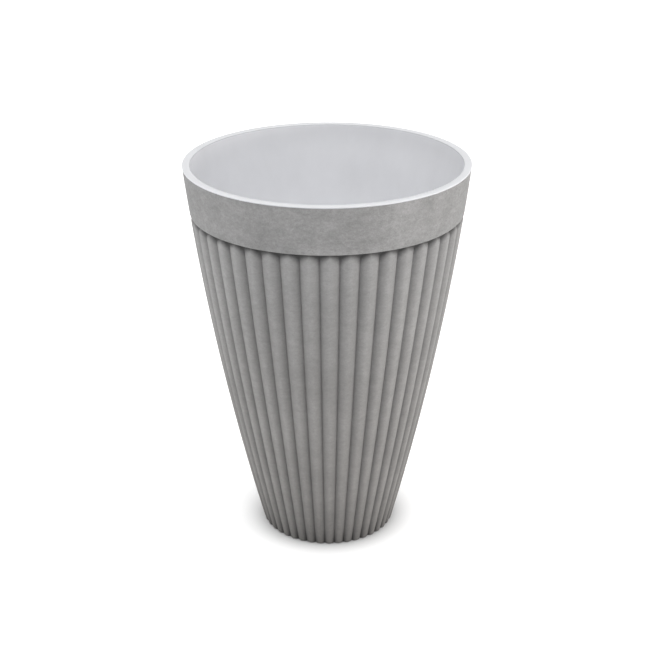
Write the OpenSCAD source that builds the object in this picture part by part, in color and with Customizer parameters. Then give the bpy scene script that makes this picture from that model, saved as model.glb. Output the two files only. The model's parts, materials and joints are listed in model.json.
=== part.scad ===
// Self watering planter: a reeded stone-look pot with a lift-out liner that holds its own reservoir.
// Origin on the floor at the centre of the base, +Z up. The fill tube and the level gauge stand on the -Y side.

/* [Pot] */
// Outer diameter of the rim
rim_d = 400; // [380:5:440]
// Overall height, from the feet to the top of the lip
pot_h = 560; // [540:5:620]
// Diameter of the base
base_d = 196; // [196:2:230]
// Outward bow of the wall at half height
belly = 10; // [4:0.5:12]
// Height of the plain band under the lip
band_h = 65.5; // [50:0.5:90]
// Number of reeds round the wall
reeds = 44; // [36:1:52]
// Depth of the valleys between the reeds at the band
reed_depth = 6.5; // [3:0.1:7]
// Turn of the reeds from the X axis, in degrees
reed_turn = 1; // [0:0.5:8]

/* [Liner] */
// Width of the lip that caps the rim
lip_w = 11; // [11:0.5:14]
// Thickness of the lip
lip_t = 2; // [1.5:0.5:3]
// Thickness of the liner's wall
liner_wall = 2.5; // [2:0.5:2.5]
// Further inset of the liner's wall below the band
liner_draft = 3; // [2:0.5:4]
// Depth inside the liner, from the lip to the reservoir's floor
liner_depth = 295; // [285:5:300]

/* [Watering set] */
// Height of the separator's underside above the reservoir's floor
separator_rise = 57; // [55:1:62]
// Highest water level above the reservoir's floor
water_level = 40; // [36:1:42]
// Distance of the fill tube and the gauge from the pot's axis
tube_reach = 120; // [116:1:122]
// Angle of each tube from the -Y direction, in degrees
tube_spread = 14; // [13:1:16]
// Height of the fill tube's mouth below the lip
mouth_drop = 45; // [42:1:60]
// Number of wick cups
cups = 4; // [4:1:4]

/* [Hidden] */
$fn = 96;
eps = 0.01;           // how far a cutter runs past the face it opens

rim_r = rim_d / 2;
base_r = base_d / 2;
pot_top = pot_h - lip_t;
band_z = pot_top - band_h;

// Outer radius of the pot's plain envelope at height z
function wall_r(z) = let (t = z / pot_h) base_r + (rim_r - base_r) * t + 4 * belly * t * (1 - t);

// How much further in than at the rim the liner and the pot's inner face lie at height z
function draft(z) = liner_draft * min(1, (pot_top - z) / band_h);

// Floor and foot of the outer pot
foot_z = 1;           // the pot's own lowest edge, just clear of the floor
recess_z = 4;         // underside of the pot's floor, where the pads are stuck
pot_floor_z = 8.5;    // upper face of the pot's floor
foot_w = 10;          // width of the foot round the recess
edge_round = 1.5;     // rounding of the base's outer edge
liner_gap = 0.8;      // clearance between the liner and the pot
pot_inset = lip_w - liner_wall - liner_gap;
reed_tip_h = 10;      // length of the rounding at a reed's upper end
reed_half_angle = 52; // half the arc that one reed's face turns through

// Reservoir, measured from the liner's floor
liner_floor_z = pot_h - liner_depth;
liner_base_t = 3;
separator_z = liner_floor_z + separator_rise;
separator_t = 3;
plate_top_z = separator_z + separator_t;
separator_r = wall_r(separator_z) - lip_w - liner_draft - 1.6;
overflow_z = liner_floor_z + water_level;
mouth_z = pot_h - mouth_drop;

// Places of the tubes and the cups, seen from above
fill_pos = [-tube_reach * sin(tube_spread), -tube_reach * cos(tube_spread)];
gauge_pos = [tube_reach * sin(tube_spread), -tube_reach * cos(tube_spread)];
cup_reach = 92;
cup_turn = 45;

// Drain in the pot's floor
drain_r = 10;
grommet_flange_r = 13;
grommet_flange_t = 2;
grommet_foot_t = 1.5;
plug_r = 7.4;
plug_bore_r = 7.5;
plug_head_r = 11;
plug_head_t = 2;

// Foot pads
pad_r = 11;
pad_reach = 76;

// Overflow pipe
pipe_r = 8;
pipe_bore_r = 6;
pipe_flange_r = 14;
gasket_t = 1.5;
pipe_flange_t = 3;
pipe_below = 14;      // length of the pipe below the liner's floor
nut_t = 7;
nut_r = 14;
stopper_shank = 6;
stopper_r = 5.92;

// Wick cups
cup_top_r = 23.5;
cup_foot_r = 19;
cup_wall = 2;
cup_flange_r = 27;
cup_flange_t = 2;

// Fill tube, its hinged cap and the hinge
fill_r = 16;
fill_bore_r = 14;
fill_flange_r = 19.5;
tube_flange_t = 3;
collar_r = 19;
collar_h = 12;
cap_r = 19;
cap_t = 3;
hinge_reach = 22;     // from the fill tube's axis to the hinge's axis
hinge_z = mouth_z + cap_t / 2;
pin_r = 1.5;
knuckle_r = 3.2;
knuckle_bore_r = 1.55;
knuckle_half = 5.8;
ear_in = 6;
ear_t = 3;

// Level gauge
gauge_r = 11;
gauge_bore_r = 9.2;
gauge_foot_r = 12.6;
gauge_shelf = 5;      // height of the shelf that the float rests on
gauge_flange_r = 14.5;
float_r = 8.6;
float_h = 18;
rod_r = 1.5;
tip_r = 6;
tip_h = 6;
dome_skirt_h = 12;
dome_skirt_r = 13;
dome_h = 46;
dome_z = mouth_z - 40;
level_marks = [7, 20, 33];  // low, middle and high water, above the dome's foot
float_z = liner_floor_z + gauge_shelf;
tip_z = dome_z + 4;

// A plain tube with its foot at height z
module tube(outer, inner, z, h) {
    translate([0, 0, z]) difference() {
        cylinder(r = outer, h = h);
        translate([0, 0, -eps]) cylinder(r = inner, h = h + 2 * eps);
    }
}

// ---- Outer pot ----

// How far a reed's face lies below its crest, at u = -1 to 1 across the reed
function reed_dip(u) =
    let (c = cos(reed_half_angle), s = min(1, abs(u)) * sin(reed_half_angle))
    1 - (sqrt(1 - s * s) - c) / (1 - c);

// Valley depth at height z, in step with the reeds' width
function valley(z) = reed_depth * wall_r(z) / wall_r(band_z);

// The pot is one closed skin of rings. Each ring is [radius, height, valley depth, points per reed, place on the
// reeds' rounded ends], where the place runs from 0 at the end's start to 1 at its tip.
reed_levels = 6;
tip_levels = 3;
inner_levels = 6;
reed_foot_z = foot_z + edge_round;
reed_end_z = band_z - reed_tip_h;

function reeded(z, tip = 0) = [wall_r(z), z, valley(z), 4, tip];
function plain(r, z, per_reed = 2) = [r, z, 0, per_reed, 0];
function inner_ring(z) = plain(wall_r(z) - pot_inset - draft(z), z);

pot_rings = [
    plain(drain_r, recess_z, 1),
    plain(base_r - foot_w, recess_z, 1),
    plain(base_r - foot_w, foot_z, 1),
    [wall_r(foot_z) - edge_round, foot_z, valley(0) / 2, 4, 0],
    for (i = [0:reed_levels]) reeded(reed_foot_z + (reed_end_z - reed_foot_z) * i / reed_levels),
    for (i = [1:tip_levels]) reeded(reed_end_z + reed_tip_h * i / tip_levels, i / tip_levels),
    plain(wall_r(band_z), band_z, 4),
    plain(wall_r(pot_top), pot_top),
    inner_ring(pot_top),
    for (i = [0:inner_levels]) inner_ring(band_z + (pot_floor_z - band_z) * i / inner_levels),
    plain(drain_r, pot_floor_z, 1)
];

function ring_size(i) = reeds * pot_rings[i][3];
function ring_start(i) = i == 0 ? 0 : ring_start(i - 1) + ring_size(i - 1);
ring_starts = [for (i = [0:len(pot_rings) - 1]) ring_start(i)];

function ring_point(ring, i) =
    let (
        per_reed = ring[3],
        u = 2 * (i % per_reed) / per_reed - 1,
        r = ring[0] - ring[2] * reed_dip(norm([u, ring[4]])),
        a = 360 * (i / per_reed - 0.5) / reeds + reed_turn
    )
    [r * cos(a), r * sin(a), ring[1]];

// Triangles between ring a and ring b, whose sizes are equal or a whole multiple
function strip(a, b) =
    let (
        na = ring_size(a), nb = ring_size(b), m = max(na, nb) / min(na, nb),
        A = function (i) ring_starts[a] + i % na,
        B = function (i) ring_starts[b] + i % nb
    )
    na >= nb
    ? [for (s = [0:nb - 1]) each [
        for (j = [0:m - 1]) [A(s * m + j + 1), A(s * m + j), B(s)],
        [B(s + 1), A((s + 1) * m), B(s)]
      ]]
    : [for (s = [0:na - 1]) each [
        for (j = [0:m - 1]) [B(s * m + j), B(s * m + j + 1), A(s)],
        [A(s), B((s + 1) * m), A(s + 1)]
      ]];

module outer_pot() {
    color([0.58, 0.58, 0.57])
    polyhedron(
        points = [for (ring = pot_rings) for (i = [0:reeds * ring[3] - 1]) ring_point(ring, i)],
        faces = [for (a = [0:len(pot_rings) - 1]) each strip(a, (a + 1) % len(pot_rings))],
        convexity = 10
    );
}

// Pad number i, stuck in the recess under the pot
module foot_pad(i) {
    bevel = 0.8;
    color([0.12, 0.12, 0.12])
    rotate(45 + 90 * i) translate([pad_reach, 0, 0]) {
        cylinder(r1 = pad_r - bevel, r2 = pad_r, h = bevel);
        translate([0, 0, bevel]) cylinder(r = pad_r, h = recess_z - bevel);
    }
}

// Rubber ring snapped into the drain hole
module drain_grommet() {
    lip = 0.4;        // the grommet's neck stays this far inside the moulded hole
    color([0.1, 0.1, 0.1])
    rotate_extrude() polygon([
        [plug_bore_r, recess_z - grommet_foot_t],
        [grommet_flange_r - 1, recess_z - grommet_foot_t],
        [grommet_flange_r, recess_z],
        [drain_r - lip, recess_z],
        [drain_r - lip, pot_floor_z],
        [grommet_flange_r, pot_floor_z],
        [grommet_flange_r, pot_floor_z + grommet_flange_t],
        [plug_bore_r, pot_floor_z + grommet_flange_t]
    ]);
}

// Stopper with a pull ring, drawn upwards from inside the pot
module base_plug() {
    head_z = pot_floor_z + grommet_flange_t;
    ring_r = 6;
    wire_r = 1.6;
    color([0.15, 0.15, 0.15]) {
        translate([0, 0, recess_z - grommet_foot_t]) cylinder(r = plug_r, h = head_z - recess_z + grommet_foot_t);
        translate([0, 0, head_z]) cylinder(r = plug_head_r, h = plug_head_t);
        translate([0, 0, head_z + plug_head_t + ring_r]) rotate([90, 0, 0])
            rotate_extrude() translate([ring_r, 0]) circle(r = wire_r);
    }
}

// ---- Liner and its drain ----

module liner() {
    outer = lip_w - liner_wall;
    levels = 5;
    foot = liner_floor_z - liner_base_t;
    corner = 4;       // bevel round the liner's foot
    edge = 0.8;       // softened edges of the lip
    step = (band_z - foot - corner) / levels;
    color([0.86, 0.87, 0.89])
    rotate_extrude() polygon([
        [pipe_r + 0.2, foot],
        [wall_r(foot) - outer - liner_draft - corner, foot],
        for (i = [0:levels]) let (z = foot + corner + step * i) [wall_r(z) - outer - liner_draft, z],
        [wall_r(pot_top) - outer, pot_top],
        [rim_r - edge / 2, pot_top],
        [rim_r, pot_top + edge / 2],
        [rim_r, pot_h - edge],
        [rim_r - edge, pot_h],
        [rim_r - lip_w + edge, pot_h],
        [rim_r - lip_w, pot_h - edge],
        for (i = [levels:-1:0])
            let (z = foot + corner + step * i + (i == 0 ? liner_base_t : 0)) [wall_r(z) - lip_w - liner_draft, z],
        [wall_r(liner_floor_z) - lip_w - liner_draft - corner, liner_floor_z],
        [pipe_r + 0.2, liner_floor_z]
    ]);
}

// Standpipe that sets the highest water level
module overflow_pipe() {
    flange_z = liner_floor_z + gasket_t;
    foot = liner_floor_z - pipe_below;
    color([0.3, 0.31, 0.32])
    difference() {
        union() {
            translate([0, 0, foot]) cylinder(r = pipe_r, h = overflow_z - foot);
            translate([0, 0, flange_z]) cylinder(r = pipe_flange_r, h = pipe_flange_t);
        }
        translate([0, 0, foot - eps]) cylinder(r = pipe_bore_r, h = overflow_z - foot + 2 * eps);
    }
}

module pipe_gasket() {
    color([0.1, 0.1, 0.1]) tube(pipe_flange_r - 0.5, pipe_r + 0.05, liner_floor_z, gasket_t);
}

// Hexagon nut that draws the standpipe down onto its gasket
module pipe_nut() {
    top = liner_floor_z - liner_base_t;
    washer_t = 1.5;
    color([0.3, 0.31, 0.32])
    difference() {
        union() {
            translate([0, 0, top - washer_t]) cylinder(r = nut_r + 1.5, h = washer_t);
            translate([0, 0, top - nut_t]) cylinder(r = nut_r, h = nut_t - washer_t + eps, $fn = 6);
        }
        translate([0, 0, top - nut_t - eps]) cylinder(r = pipe_r, h = nut_t + 2 * eps);
    }
}

// Stopper in the standpipe's mouth, drawn when the planter stands in the rain
module pipe_stopper() {
    color([0.82, 0.2, 0.14]) {
        translate([0, 0, overflow_z - stopper_shank]) cylinder(r = stopper_r, h = stopper_shank);
        translate([0, 0, overflow_z]) cylinder(r = pipe_r + 1.5, h = 3);
        translate([0, 0, overflow_z + 3]) cylinder(r1 = 4, r2 = 3, h = 3);
    }
}

// ---- Separator and wick cups ----

function cup_angle(i) = cup_turn + 360 * i / cups;

// Straight slot from radius r1 to r2 at angle a, cut through the plate
module radial_slot(a, r1, r2, w) {
    rotate(a) translate([r1, -w / 2, separator_z - eps]) cube([r2 - r1, w, separator_t + 2 * eps]);
}

module separator_plate() {
    rim_h = 9;
    rim_t = 2;
    hub_r = 20;
    clear = 0.4;      // clearance round the tubes and the cups
    color([0.22, 0.23, 0.24])
    difference() {
        union() {
            translate([0, 0, separator_z]) cylinder(r = separator_r, h = separator_t);
            tube(separator_r, separator_r - rim_t, separator_z, rim_h);
            tube(hub_r, hub_r - rim_t, separator_z, rim_h - 3);
        }
        for (i = [0:cups - 1]) rotate(cup_angle(i)) translate([cup_reach, 0, separator_z - eps])
            cylinder(r = cup_top_r + clear, h = separator_t + 2 * eps);
        translate([fill_pos[0], fill_pos[1], separator_z - eps])
            cylinder(r = fill_r + clear, h = separator_t + 2 * eps);
        translate([gauge_pos[0], gauge_pos[1], separator_z - eps])
            cylinder(r = gauge_r + clear, h = separator_t + 2 * eps);
        for (i = [0:15]) radial_slot(360 * i / 16, 27, 55, 3.5);
        for (i = [-3:9]) radial_slot(15 * i, 125, 145, 3.5);
        for (i = [0:3]) radial_slot(45 + 90 * i, 8, 16, 3.5);
    }
}

// Slotted basket number i. It hangs in the plate, stands on the reservoir's floor and is packed with soil.
module wick_cup(i) {
    h = plate_top_z - liner_floor_z;
    slots = 6;
    slot_w = 3.5;
    slot_h = 34;
    slot_z = 8;
    color([0.22, 0.23, 0.24])
    rotate(cup_angle(i - 1)) translate([cup_reach, 0, liner_floor_z])
    difference() {
        union() {
            cylinder(r1 = cup_foot_r, r2 = cup_top_r, h = h);
            translate([0, 0, h]) cylinder(r = cup_flange_r, h = cup_flange_t);
        }
        translate([0, 0, cup_wall]) cylinder(r1 = cup_foot_r - cup_wall, r2 = cup_top_r - cup_wall, h = h);
        for (k = [0:slots - 1]) rotate(360 * (k + 0.5) / slots)
            translate([cup_foot_r - cup_wall - 2, -slot_w / 2, slot_z]) cube([10, slot_w, slot_h]);
        for (k = [0:2]) rotate(60 * k)
            translate([-12, -slot_w / 2, -eps]) cube([24, slot_w, cup_wall + 2 * eps]);
    }
}

// ---- Fill tube and cap ----

module at_fill() { translate([fill_pos[0], fill_pos[1], 0]) children(); }
module at_gauge() { translate([gauge_pos[0], gauge_pos[1], 0]) children(); }

// A straight cylinder along X, centred on the hinge's axis
module on_hinge(r, half) {
    translate([-half, -hinge_reach, hinge_z]) rotate([0, 90, 0]) cylinder(r = r, h = 2 * half);
}

module fill_tube() {
    foot = liner_floor_z + 5;
    color([0.3, 0.31, 0.32])
    at_fill() difference() {
        union() {
            translate([0, 0, foot]) cylinder(r = fill_r, h = mouth_z - foot);
            translate([0, 0, plate_top_z]) cylinder(r = fill_flange_r, h = tube_flange_t);
        }
        translate([0, 0, foot - eps]) cylinder(r = fill_bore_r, h = mouth_z - foot + 2 * eps);
    }
}

// Ring pressed on the tube's mouth, with the two ears of the hinge
module fill_collar() {
    ear_r = 3.2;
    ear_foot = 7;     // how far the ears reach down the collar
    color([0.22, 0.23, 0.24])
    at_fill() difference() {
        union() {
            translate([0, 0, mouth_z - collar_h]) cylinder(r = collar_r, h = collar_h);
            for (side = [-1, 1]) translate([side * (ear_in + ear_t / 2) - ear_t / 2, 0, 0]) {
                translate([0, -hinge_reach, hinge_z]) rotate([0, 90, 0]) cylinder(r = ear_r, h = ear_t);
                translate([0, -hinge_reach - ear_r, mouth_z - ear_foot])
                    cube([ear_t, hinge_reach + ear_r - fill_r, ear_foot]);
                translate([0, -hinge_reach - ear_r, mouth_z - eps]) cube([ear_t, 2 * ear_r, cap_t / 2]);
            }
        }
        translate([0, 0, mouth_z - collar_h - eps]) cylinder(r = fill_r, h = collar_h + 3);
        on_hinge(pin_r, ear_in + ear_t + 1);
    }
}

module fill_cap() {
    tab_w = 12;
    color([0.16, 0.42, 0.62])
    at_fill() difference() {
        union() {
            translate([0, 0, mouth_z]) difference() {
                cylinder(r = cap_r, h = cap_t);
                for (side = [-1, 1]) translate([side * (ear_in + ear_t / 2) - ear_t / 2 - 0.4, -cap_r - 1, -eps])
                    cube([ear_t + 0.8, 5, cap_t + 2 * eps]);
            }
            on_hinge(knuckle_r, knuckle_half);
            translate([-knuckle_half, -hinge_reach, mouth_z]) cube([2 * knuckle_half, 6, cap_t]);
            translate([-tab_w / 2, cap_r - 2, mouth_z]) cube([tab_w, 6, cap_t]);
        }
        on_hinge(knuckle_bore_r, knuckle_half + 1);
    }
}

module cap_hinge_pin() {
    color([0.7, 0.7, 0.72]) at_fill() on_hinge(pin_r, ear_in + ear_t);
}

// ---- Level gauge ----

module gauge_tube() {
    foot = float_z;
    color([0.3, 0.31, 0.32])
    at_gauge() difference() {
        union() {
            translate([0, 0, foot]) cylinder(r = gauge_r, h = dome_z - foot);
            translate([0, 0, plate_top_z]) cylinder(r = gauge_flange_r, h = tube_flange_t);
        }
        translate([0, 0, foot - eps]) cylinder(r = gauge_bore_r, h = dome_z - foot + 2 * eps);
    }
}

// Slotted foot that lets water in and stops the float
module gauge_foot() {
    socket_h = 5;
    color([0.22, 0.23, 0.24])
    at_gauge() translate([0, 0, liner_floor_z]) difference() {
        cylinder(r = gauge_foot_r, h = gauge_shelf + socket_h);
        translate([0, 0, gauge_shelf]) cylinder(r = gauge_r, h = socket_h + eps);
        translate([0, 0, -eps]) cylinder(r = 6.5, h = gauge_shelf + 2 * eps);
        for (k = [0:1]) rotate(90 * k) translate([-gauge_foot_r - 1, -1.75, -eps])
            cube([2 * gauge_foot_r + 2, 3.5, 3]);
    }
}

// Clear window over the tube's end, with rings that mark low, middle and high water
module sight_dome() {
    window_r = 10.6;
    crown_r = 5;
    color([0.9, 0.93, 0.95, 0.4])
    at_gauge() translate([0, 0, dome_z]) difference() {
        union() {
            translate([0, 0, -dome_skirt_h]) cylinder(r = dome_skirt_r, h = dome_skirt_h + 2);
            cylinder(r = window_r, h = dome_h - crown_r);
            translate([0, 0, dome_h - crown_r]) cylinder(r1 = window_r, r2 = window_r - 3, h = crown_r);
            for (z = level_marks) translate([0, 0, z - 0.5]) cylinder(r = window_r + 0.4, h = 1);
        }
        translate([0, 0, -dome_skirt_h - eps]) cylinder(r = gauge_r, h = dome_skirt_h + eps);
        translate([0, 0, -eps]) cylinder(r = gauge_bore_r, h = dome_h - crown_r);
        translate([0, 0, dome_h - crown_r - eps - 1]) cylinder(r1 = gauge_bore_r, r2 = gauge_bore_r - 2, h = 3.5);
    }
}

module float_body() {
    bevel = 1.5;
    color([0.92, 0.92, 0.9])
    at_gauge() translate([0, 0, float_z]) {
        cylinder(r1 = float_r - bevel, r2 = float_r, h = bevel);
        translate([0, 0, bevel]) cylinder(r = float_r, h = float_h - 2 * bevel);
        translate([0, 0, float_h - bevel]) cylinder(r1 = float_r, r2 = float_r - bevel, h = bevel);
    }
}

module float_rod() {
    foot = float_z + float_h;
    color([0.92, 0.92, 0.9]) at_gauge() translate([0, 0, foot]) cylinder(r = rod_r, h = tip_z - foot);
}

module level_tip() {
    color([0.82, 0.2, 0.14])
    at_gauge() translate([0, 0, tip_z]) {
        cylinder(r = tip_r, h = tip_h - 1);
        translate([0, 0, tip_h - 1]) cylinder(r1 = tip_r, r2 = tip_r - 1, h = 1);
    }
}

outer_pot();
for (i = [1:4]) foot_pad(i);
drain_grommet();
base_plug();
liner();
overflow_pipe();
pipe_gasket();
pipe_nut();
pipe_stopper();
separator_plate();
for (i = [1:cups]) wick_cup(i);
fill_tube();
fill_collar();
fill_cap();
cap_hinge_pin();
gauge_tube();
gauge_foot();
sight_dome();
float_body();
float_rod();
level_tip();
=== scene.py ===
"""The self watering planter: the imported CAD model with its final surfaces, materials, light and camera."""

import json
import math

import bmesh
import bpy
from mathutils import Matrix, Vector


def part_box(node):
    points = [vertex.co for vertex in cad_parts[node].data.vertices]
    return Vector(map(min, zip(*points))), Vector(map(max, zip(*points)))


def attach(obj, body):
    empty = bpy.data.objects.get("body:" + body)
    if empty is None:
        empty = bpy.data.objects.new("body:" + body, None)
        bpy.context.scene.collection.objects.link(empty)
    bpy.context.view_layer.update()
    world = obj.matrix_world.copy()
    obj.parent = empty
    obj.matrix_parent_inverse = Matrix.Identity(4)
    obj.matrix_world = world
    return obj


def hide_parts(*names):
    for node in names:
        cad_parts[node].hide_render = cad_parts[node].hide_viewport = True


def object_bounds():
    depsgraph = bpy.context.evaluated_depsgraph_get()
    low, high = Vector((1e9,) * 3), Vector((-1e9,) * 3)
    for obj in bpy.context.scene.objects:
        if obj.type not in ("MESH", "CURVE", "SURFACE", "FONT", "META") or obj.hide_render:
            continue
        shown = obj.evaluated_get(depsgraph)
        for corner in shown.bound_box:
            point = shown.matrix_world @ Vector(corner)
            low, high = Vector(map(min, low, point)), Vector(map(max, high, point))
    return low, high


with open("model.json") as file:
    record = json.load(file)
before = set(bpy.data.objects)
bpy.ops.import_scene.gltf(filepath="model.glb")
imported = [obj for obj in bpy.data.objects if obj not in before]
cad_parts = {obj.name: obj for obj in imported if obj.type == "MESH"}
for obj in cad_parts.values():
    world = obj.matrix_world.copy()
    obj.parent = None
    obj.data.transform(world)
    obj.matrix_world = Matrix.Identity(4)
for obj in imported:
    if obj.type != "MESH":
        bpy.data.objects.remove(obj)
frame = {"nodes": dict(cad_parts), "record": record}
cad_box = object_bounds()
NODES = frame["nodes"]

# ---------------------------------------------------------------- sizes, in metres

POT_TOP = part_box("outer_pot")[1].z           # where the liner's lip rests
LIP_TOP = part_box("liner")[1].z
RIM_R = min(abs(c) for corner in cad_box for c in corner[:2])
BASE_R = 0.098
BELLY = 0.010                                # outward bow of the wall at half height
BAND_Z = POT_TOP - 0.0655                    # lower edge of the plain band
REEDS = 44
REED_DEPTH = 0.0065                          # at the band; it shrinks with the reeds' width
REED_ARC = math.radians(52)                  # half the arc that one reed's face turns through
REED_TURN = math.radians(1)
TIP_H = 0.010                                # length of the rounding at a reed's upper end
FOOT_Z = 0.001                               # the pot's own lowest edge
RECESS_Z = 0.004
POT_FLOOR_Z = 0.0085
FOOT_W = 0.010
BASE_ROUND = 0.0015
DRAIN_R = 0.010
POT_INSET = 0.0077                           # wall thickness of the pot at the crests

LIP_W = 0.011
LINER_WALL = 0.0025
LINER_DRAFT = 0.003                          # further inset of the liner below the band
LINER_FOOT_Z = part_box("liner")[0].z
LINER_FLOOR_Z = LINER_FOOT_Z + 0.0029        # just clear of the cups that stand on it
PIPE_HOLE_R = 0.0082


def wall_r(z):
    """Outer radius of the pot's plain envelope at height z."""
    t = z / LIP_TOP
    return BASE_R + (RIM_R - BASE_R) * t + 4 * BELLY * t * (1 - t)


def draft(z):
    """How much further in than at the rim the liner and the pot's inner face lie at height z."""
    t = max(0, min(1, (POT_TOP - z) / (POT_TOP - BAND_Z)))
    return LINER_DRAFT * t * t * (3 - 2 * t)


# ---------------------------------------------------------------- meshes


def ease(a, b, steps):
    """steps + 1 evenly spaced values from a to b."""
    return [a + (b - a) * i / steps for i in range(steps + 1)]


def arc(centre, radius, start, end, steps):
    """Points (r, z) on an arc, its angles in degrees from +r towards +z."""
    turns = [math.radians(a) for a in ease(start, end, steps)]
    return [(centre[0] + radius * math.cos(a), centre[1] + radius * math.sin(a)) for a in turns]


def make_object(name, verts, faces, sharp=40):
    """A smooth-shaded object whose edges above that angle, in degrees, stay sharp."""
    mesh = bpy.data.meshes.new(name)
    mesh.from_pydata(verts, [], faces)
    shape = bmesh.new()
    shape.from_mesh(mesh)
    bmesh.ops.recalc_face_normals(shape, faces=shape.faces)
    shape.to_mesh(mesh)
    shape.free()
    mesh.shade_smooth()
    mesh.set_sharp_from_angle(angle=math.radians(sharp))
    obj = bpy.data.objects.new(name, mesh)
    bpy.context.scene.collection.objects.link(obj)
    return obj


def skin_faces(rings, count):
    """Quads of a closed skin through rings of count points; the last ring joins the first."""
    faces = []
    for a in range(rings):
        b = (a + 1) % rings
        for i in range(count):
            j = (i + 1) % count
            faces.append((a * count + i, a * count + j, b * count + j, b * count + i))
    return faces


def lathe(name, profile, segments=192, sharp=40):
    """A solid of revolution about Z through a closed profile of (r, z) points."""
    verts = []
    for r, z in profile:
        for i in range(segments):
            a = 2 * math.pi * i / segments
            verts.append((r * math.cos(a), r * math.sin(a), z))
    return make_object(name, verts, skin_faces(len(profile), segments), sharp)


# ---------------------------------------------------------------- the pot

REED_POINTS = 16
BAND_SHADE_H = 0.019                             # reach of the painted shade in the grooves below the band
CREST_SHADE_H = 0.006                       # its reach on the crests


def reed_dip(u):
    """How far a reed's face lies below its crest, 0 to 1, at u = -1 to 1 across the reed."""
    c = math.cos(REED_ARC)
    s = min(1, abs(u)) * math.sin(REED_ARC)
    return 1 - (math.sqrt(1 - s * s) - c) / (1 - c)


def valley(z):
    return REED_DEPTH * wall_r(z) / wall_r(BAND_Z)


def pot_rings():
    """Each ring is (radius, height, valley depth, place along the reeds' rounded ends)."""
    start_z = FOOT_Z + BASE_ROUND
    tip_z = BAND_Z - TIP_H
    band_shade_z = BAND_Z - BAND_SHADE_H
    edge = 0.0006
    rings = [(DRAIN_R, RECESS_Z, 0, 0), (wall_r(0) - FOOT_W, RECESS_Z, 0, 0)]
    rings += [(wall_r(0) - FOOT_W, FOOT_Z + edge, 0, 0), (wall_r(0) - FOOT_W + edge, FOOT_Z, 0, 0)]
    for r, z in arc((wall_r(start_z) - BASE_ROUND, start_z), BASE_ROUND, -90, 0, 5):
        rings.append((r, z, valley(z), 0))
    for z in ease(start_z, band_shade_z, 38)[1:] + ease(band_shade_z, tip_z, 4)[1:]:
        rings.append((wall_r(z), z, valley(z), 0))
    for z in ease(tip_z, BAND_Z, 10)[1:]:
        rings.append((wall_r(z), z, valley(z), (z - tip_z) / TIP_H))
    for r, z in arc((wall_r(BAND_Z) - edge, BAND_Z + edge), edge, -90, 0, 3):
        rings.append((r, z, 0, 0))
    for z in ease(BAND_Z + edge, POT_TOP, 8)[1:]:
        rings.append((wall_r(z), z, 0, 0))
    for z in ease(POT_TOP, BAND_Z, 6) + ease(BAND_Z, POT_FLOOR_Z, 16)[1:]:
        rings.append((wall_r(z) - POT_INSET - draft(z), z, 0, 0))
    rings.append((DRAIN_R, POT_FLOOR_Z, 0, 0))
    return rings


def band_shade(z, groove):
    """Painted shade under the band's overhang, 0 to 1: it reaches further down in the grooves than on the
    crests.
    """
    reach = CREST_SHADE_H + (BAND_SHADE_H - CREST_SHADE_H) * groove
    return (0.16 + 0.82 * groove ** 0.66) * max(0, 1 - (BAND_Z - z) / reach)


def make_pot():
    """The pot's skin. Its point attributes say where shade is painted: across the grooves, and under the
    band's overhang.
    """
    rings = pot_rings()
    count = REEDS * REED_POINTS
    verts = []
    grooves = []
    band_shades = []
    for radius, z, depth, tip in rings:
        for i in range(count):
            across = abs(2 * (i % REED_POINTS) / REED_POINTS - 1)
            groove = min(1, math.hypot(across, tip)) if depth else 0
            r = radius - depth * reed_dip(groove)
            a = 2 * math.pi * (i / REED_POINTS - 0.5) / REEDS + REED_TURN
            verts.append((r * math.cos(a), r * math.sin(a), z))
            grooves.append(groove)
            band_shades.append(band_shade(z, across) if depth else 0)
    pot = make_object("pot_shell", verts, skin_faces(len(rings), count), sharp=55)
    for name, values in (("groove", grooves), ("band_shade", band_shades)):
        pot.data.attributes.new(name, "FLOAT", "POINT").data.foreach_set("value", values)
    return pot


# ---------------------------------------------------------------- the liner


def make_liner():
    """The liner's skin. Its point attribute of painted light is 0 outside, and grows to 1 deep inside: the
    inside is painted paler the deeper it lies, against its shade.
    """
    segments = 256
    edge = 0.0007
    inner_edge = 0.0018
    fillet = 0.006
    rim_pale = 0.8
    pale_depth = 0.17
    outer = LIP_W - LINER_WALL
    outer_foot = LINER_FOOT_Z + fillet
    outer_foot_r = wall_r(LINER_FOOT_Z) - outer - LINER_DRAFT - fillet
    inner_top = LIP_TOP - inner_edge
    inner_foot = LINER_FLOOR_Z + fillet
    inner_foot_r = wall_r(LINER_FLOOR_Z) - LIP_W - LINER_DRAFT - fillet
    profile = [(PIPE_HOLE_R, LINER_FOOT_Z)]
    profile += arc((outer_foot_r, outer_foot), fillet, -90, -10, 5)
    profile += [(wall_r(z) - outer - draft(z), z) for z in ease(outer_foot, POT_TOP, 28)]
    profile += arc((RIM_R - edge, POT_TOP + edge), edge, -90, 0, 3)
    profile += arc((RIM_R - edge, LIP_TOP - edge), edge, 0, 90, 3)
    profile += arc((RIM_R - LIP_W + inner_edge, inner_top), inner_edge, 90, 180, 4)
    first_inside = len(profile) - 1
    profile += [(wall_r(z) - LIP_W - draft(z), z) for z in ease(inner_top, inner_foot, 28)[1:]]
    profile += arc((inner_foot_r, inner_foot), fillet, -10, -90, 5)
    profile += [(PIPE_HOLE_R, LINER_FLOOR_Z)]
    liner = lathe("liner_shell", profile, segments)
    values = []
    # painted light: inside, the wall is painted paler the deeper it lies, to offset its shade; outside it is
    # 0
    for i, (_, z) in enumerate(profile):
        depth = max(0, min(1, (POT_TOP - z) / pale_depth))
        inside_pale = rim_pale + (1 - rim_pale) * depth
        values += [inside_pale if i >= first_inside else 0] * segments
    liner.data.attributes.new("painted_lightness", "FLOAT", "POINT").data.foreach_set("value", values)
    return liner


# ---------------------------------------------------------------- materials


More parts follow.
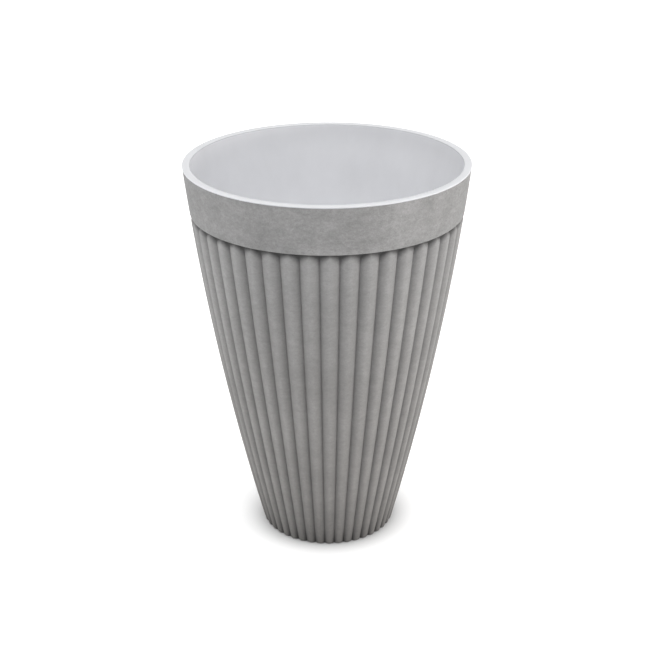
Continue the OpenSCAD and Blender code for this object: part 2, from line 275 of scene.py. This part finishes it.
class Paint:
    """Builds one node-based material. Its coordinates are the row frame's, in metres."""

    def __init__(self, name, **constants):
        self.material = bpy.data.materials.new(name)
        self.material.use_nodes = True
        self.nodes = self.material.node_tree.nodes
        self.links = self.material.node_tree.links
        self.shader = self.nodes["Principled BSDF"]
        for socket, value in constants.items():
            self.shader.inputs[socket.replace("_", " ")].default_value = value
        self.place = self.add("ShaderNodeTexCoord").outputs["Object"]

    def add(self, kind, **settings):
        node = self.nodes.new(kind)
        for key, value in settings.items():
            setattr(node, key, value)
        return node

    def feed(self, socket, value):
        """Links an output to a socket, or sets a plain value on it."""
        if isinstance(value, bpy.types.NodeSocket):
            self.links.new(value, socket)
        else:
            socket.default_value = value

    def height(self):
        node = self.add("ShaderNodeSeparateXYZ")
        self.feed(node.inputs["Vector"], self.place)
        return node.outputs["Z"]

    def stretch(self, x, y, z):
        node = self.add("ShaderNodeMapping")
        self.feed(node.inputs["Vector"], self.place)
        node.inputs["Scale"].default_value = (x, y, z)
        return node.outputs["Vector"]

    def noise(self, size, detail=4, roughness=0.55, place=None):
        """Values round 0.5 that vary over lengths of size metres."""
        node = self.add("ShaderNodeTexNoise")
        self.feed(node.inputs["Vector"], place or self.place)
        node.inputs["Scale"].default_value = 1 / size
        node.inputs["Detail"].default_value = detail
        node.inputs["Roughness"].default_value = roughness
        return node.outputs["Fac"]

    def span(self, value, low, high, out_low=0, out_high=1, smooth=False):
        """Maps low..high to out_low..out_high, held at the ends."""
        node = self.add("ShaderNodeMapRange", clamp=True)
        if smooth:
            node.interpolation_type = "SMOOTHSTEP"
        self.feed(node.inputs["Value"], value)
        limits = {"From Min": low, "From Max": high, "To Min": out_low, "To Max": out_high}
        for socket, number in limits.items():
            node.inputs[socket].default_value = number
        return node.outputs["Result"]

    def maths(self, operation, a, b=0):
        node = self.add("ShaderNodeMath", operation=operation)
        self.feed(node.inputs[0], a)
        self.feed(node.inputs[1], b)
        return node.outputs["Value"]

    def mix(self, factor, a, b, blend="MIX"):
        node = self.add("ShaderNodeMix", data_type="RGBA", blend_type=blend)
        self.feed(node.inputs["Factor"], factor)
        self.feed(node.inputs[6], a)
        self.feed(node.inputs[7], b)
        return node.outputs[2]

    def shade(self, colour, factors, strength=1.0):
        """Multiplies a colour by each factor in turn."""
        for factor in factors:
            colour = self.mix(strength, colour, factor, "MULTIPLY")
        return colour

    def attribute(self, name):
        return self.add("ShaderNodeAttribute", attribute_name=name).outputs["Fac"]

    def bump(self, height, distance, strength=1.0, below=None):
        node = self.add("ShaderNodeBump")
        node.inputs["Strength"].default_value = strength
        node.inputs["Distance"].default_value = distance
        self.feed(node.inputs["Height"], height)
        if below:
            self.feed(node.inputs["Normal"], below)
        return node.outputs["Normal"]

    def finish(self, colour=None, roughness=None, normal=None):
        for socket, value in (("Base Color", colour), ("Roughness", roughness), ("Normal", normal)):
            if value is not None:
                self.feed(self.shader.inputs[socket], value)
        return self.material


def grey(value, warmth=0.0):
    """A grey that leans from blue towards red as its warmth grows."""
    return (value * (1 + warmth), value, value * (1 - warmth), 1)


def stone_shell():
    """Stone effect: mottled and grained, with painted shade: darker low down, in the grooves, at the foot
    and below the band.
    """
    paint = Paint("stone_shell", Specular_IOR_Level=0.25)
    clouds = paint.noise(0.11, 5, 0.6)
    blotches = paint.noise(0.03, 6, 0.68, paint.stretch(1, 1, 2.2))
    streaks = paint.noise(0.05, 4, 0.6, paint.stretch(2.4, 2.4, 0.35))
    speckle = paint.noise(0.006, 5, 0.8, paint.stretch(1, 1, 1.6))
    grain = paint.noise(0.0016, 3, 0.7)
    z = paint.height()
    tone = 0.203
    band_edge = (BAND_Z - 0.001, BAND_Z + 0.001)
    colour = paint.mix(paint.span(z, 0.0, BAND_Z), grey(tone, 0.036), grey(tone, 0.004))
    mottling = [
        paint.span(clouds, 0.3, 0.7, 0.85, 1.15),
        paint.span(blotches, 0.25, 0.75, 0.83, 1.17),
        paint.span(streaks, 0.45, 0.75, 1.0, 0.93),
        paint.span(speckle, 0.3, 0.7, 0.83, 1.17),
        paint.span(grain, 0.3, 0.7, 0.885, 1.115),
    ]
    colour = paint.shade(colour, mottling, paint.span(z, *band_edge, 0.6, 1.0))
    # painted shade: darker towards the foot and much darker in its lowest 10 cm; the band is also a little
    # darker
    shades = [
        paint.span(z, 0.0, BAND_Z, 0.87, 1.11),
        paint.span(z, 0.0, 0.1, 0.74, 1.0),
        paint.span(z, *band_edge, 1.0, 0.92),
    ]
    colour = paint.shade(colour, shades)
    # painted shade in the grooves, stronger low down
    groove = paint.attribute("groove")
    low_down_boost = paint.span(z, 0.0, BAND_Z, 1.7, 1.0)
    groove_shade = paint.maths("MULTIPLY", paint.span(groove, 0.1, 1.0, 0, 0.34), low_down_boost)
    colour = paint.mix(groove_shade, colour, grey(0.09, 0.02))
    # painted shade in the grooves at the foot
    near_foot = paint.span(z, 0.0, 0.03, 1.0, 0.0)
    foot_shade = paint.maths("MULTIPLY", paint.span(groove, 0.4, 1.0, 0, 0.8), near_foot)
    colour = paint.mix(foot_shade, colour, grey(0.02))
    # painted shade under the band's overhang, near black
    colour = paint.mix(paint.attribute("band_shade"), colour, grey(0.01))
    pit_spacing = 0.006
    pits = paint.add("ShaderNodeTexVoronoi")
    paint.feed(pits.inputs["Vector"], paint.place)
    pits.inputs["Scale"].default_value = 1 / pit_spacing
    holes = paint.span(pits.outputs["Distance"], 0.05, 0.16, smooth=True)
    rough = paint.span(blotches, 0.3, 0.7, 0.74, 0.92)
    relief = paint.bump(grain, 0.0004, 0.6)
    relief = paint.bump(holes, 0.0003, 0.35, relief)
    relief = paint.bump(blotches, 0.0012, 0.5, relief)
    return paint.finish(colour, rough, relief)


def pale_liner():
    """The liner's plastic, faintly clouded. Its tone goes from outside to inside with the painted light
    attribute: one plastic, painted darker outside and on the lip's top for the light they catch, and paler
    deep inside against its shade.
    """
    paint = Paint("liner_plastic", Specular_IOR_Level=0.3)
    # painted shade and light: the same plastic is darker outside and on the lip's top, which catch more
    # light, and paler inside
    outside = (0.46, 0.465, 0.49, 1)
    inside = (0.885, 0.89, 0.915, 1)
    on_lip = (0.555, 0.56, 0.575, 1)
    lip = paint.span(paint.height(), POT_TOP + 0.0005, POT_TOP + 0.0015)
    colour = paint.mix(paint.attribute("painted_lightness"), outside, inside)
    colour = paint.mix(lip, colour, on_lip)
    clouds = paint.noise(0.05, 4, 0.6, paint.stretch(1, 1, 0.6))
    colour = paint.shade(colour, [paint.span(clouds, 0.3, 0.7, 0.97, 1.02)])
    rough = paint.span(paint.noise(0.02), 0.3, 0.7, 0.45, 0.58)
    return paint.finish(colour, rough, paint.bump(paint.noise(0.0009, 2), 0.00004, 0.6))


def moulded(name, colour, roughness=0.45, **constants):
    """Moulded plastic or rubber: fine grain, faint clouding, uneven roughness and softened edges."""
    variation = 0.06
    grain = 0.0007
    depth = 0.00006
    edge = 0.0006
    paint = Paint(name, **constants)
    clouds = paint.noise(0.06, 4, 0.55)
    fine = paint.noise(grain, 2, 0.6)
    dark = tuple(c * (1 - variation) for c in colour) + (1,)
    light = tuple(min(1, c * (1 + variation)) for c in colour) + (1,)
    tint = paint.mix(paint.span(clouds, 0.3, 0.7), dark, light)
    rough = paint.span(paint.noise(0.02, 4, 0.6), 0.3, 0.7, roughness - 0.06, roughness + 0.06)
    rounded = paint.add("ShaderNodeBevel", samples=4)
    rounded.inputs["Radius"].default_value = edge
    return paint.finish(tint, rough, paint.bump(fine, depth, 0.6, rounded.outputs["Normal"]))


def paint_node(name, material):
    obj = NODES[name]
    obj.data.materials.clear()
    obj.data.materials.append(material)


# ---------------------------------------------------------------- the object

pot = make_pot()
pot.data.materials.append(stone_shell())
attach(pot, "pot")
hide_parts("outer_pot")

liner = make_liner()
liner.data.materials.append(pale_liner())
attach(liner, "liner_set")
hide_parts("liner")

SLOT_FINISH = {
    "dark_plastic": moulded("dark_plastic", (0.045, 0.048, 0.05), 0.5),
    "tube_plastic": moulded("tube_plastic", (0.1, 0.105, 0.11), 0.42),
    "cap_plastic": moulded("cap_plastic", (0.02, 0.09, 0.2), 0.3),
    "clear_plastic": moulded("clear_plastic", (0.26, 0.3, 0.32), 0.1, Alpha=0.28),
    "white_plastic": moulded("white_plastic", (0.6, 0.6, 0.57), 0.5),
    "red_plastic": moulded("red_plastic", (0.42, 0.008, 0.006), 0.35),
    "black_rubber": moulded("black_rubber", (0.02, 0.02, 0.02), 0.75),
    "pin_steel": moulded("pin_steel", (0.55, 0.55, 0.56), 0.3, Metallic=1.0),
}
for part in frame["record"]["subparts"]:
    if part["material_slot"] in SLOT_FINISH:
        paint_node(part["node"], SLOT_FINISH[part["material_slot"]])

# ---------------------------------------------------------------- floor, light and camera


def add_floor(size=400.0):
    """A white, faintly glowing floor with a painted contact shadow round the planter's foot."""
    half = size / 2
    shade_width = 0.024
    shade_depth = 0.5
    corners = [(-half, -half, 0), (half, -half, 0), (half, half, 0), (-half, half, 0)]
    floor = make_object("floor", corners, [(0, 1, 2, 3)])
    paint = Paint("floor_paint", Emission_Strength=0.34)
    # painted contact shadow: colour and glow both darken close to the foot
    away = paint.add("ShaderNodeVectorMath", operation="LENGTH")
    paint.feed(away.inputs["Vector"], paint.place)
    gap = paint.maths("DIVIDE", paint.maths("SUBTRACT", BASE_R, away.outputs["Value"]), shade_width)
    fade = paint.maths("MULTIPLY", paint.maths("EXPONENT", gap), shade_depth)
    shade = paint.maths("SUBTRACT", 1.0, fade)
    tone = paint.span(paint.noise(0.8, 3), 0.3, 0.7)
    colour = paint.shade(paint.mix(tone, grey(0.8), grey(0.82)), [shade])
    paint.feed(paint.shader.inputs["Emission Color"], shade)
    floor.data.materials.append(paint.finish(colour, 0.9))


def add_world(horizon, zenith):
    """An even white room that is brighter overhead than at eye level."""
    world = bpy.data.worlds.new("studio")
    world.use_nodes = True
    tree = world.node_tree
    background = tree.nodes["Background"]
    background.inputs["Color"].default_value = (1, 1, 1, 1)
    direction = tree.nodes.new("ShaderNodeTexCoord").outputs["Generated"]
    height = tree.nodes.new("ShaderNodeSeparateXYZ")
    rise = tree.nodes.new("ShaderNodeMapRange")
    rise.interpolation_type = "SMOOTHSTEP"
    tree.links.new(direction, height.inputs["Vector"])
    tree.links.new(height.outputs["Z"], rise.inputs["Value"])
    limits = {"From Min": 0.45, "From Max": 0.95, "To Min": horizon, "To Max": zenith}
    for socket, number in limits.items():
        rise.inputs[socket].default_value = number
    tree.links.new(rise.outputs["Result"], background.inputs["Strength"])
    bpy.context.scene.world = world


def add_softbox(name, place, size, power, warmth=0.0, aim=(0, 0, 0.3)):
    """A rectangular lamp that faces aim; its power is in watts."""
    data = bpy.data.lights.new(name, "AREA")
    data.shape = "RECTANGLE"
    data.size, data.size_y = size
    data.energy = power
    data.color = grey(1, warmth)[:3]
    light = bpy.data.objects.new(name, data)
    light.location = place
    light.rotation_euler = (Vector(aim) - Vector(place)).to_track_quat("-Z", "Y").to_euler()
    light.visible_camera = False
    bpy.context.scene.collection.objects.link(light)


def add_camera():
    """The camera looks down at the planter's axis from the front."""
    pitch = math.radians(23.746)
    roll = math.radians(-0.203)
    place = Vector((0, -1.8138, 1.1098))
    data = bpy.data.cameras.new("camera")
    data.sensor_width = 36
    data.lens = 75.41
    data.shift_x = -0.0039
    data.clip_end = 1000
    camera = bpy.data.objects.new("camera", data)
    camera.matrix_world = (
        Matrix.Translation(place)
        @ Matrix.Rotation(math.pi / 2 - pitch, 4, "X")
        @ Matrix.Rotation(roll, 4, "Z")
    )
    bpy.context.scene.collection.objects.link(camera)
    bpy.context.scene.camera = camera


add_floor()
add_world(0.2, 2.46)
add_softbox("softbox_left", (-2.2, -0.5, 0.33), (1.6, 0.6), 19)
add_softbox("softbox_right", (2.2, -0.5, 0.42), (1.6, 0.6), 31, 0.035)
add_softbox("softbox_front", (0, -1.4, 3.1), (3.0, 1.5), 17)
add_camera()
bpy.context.scene.view_settings.view_transform = "Standard"
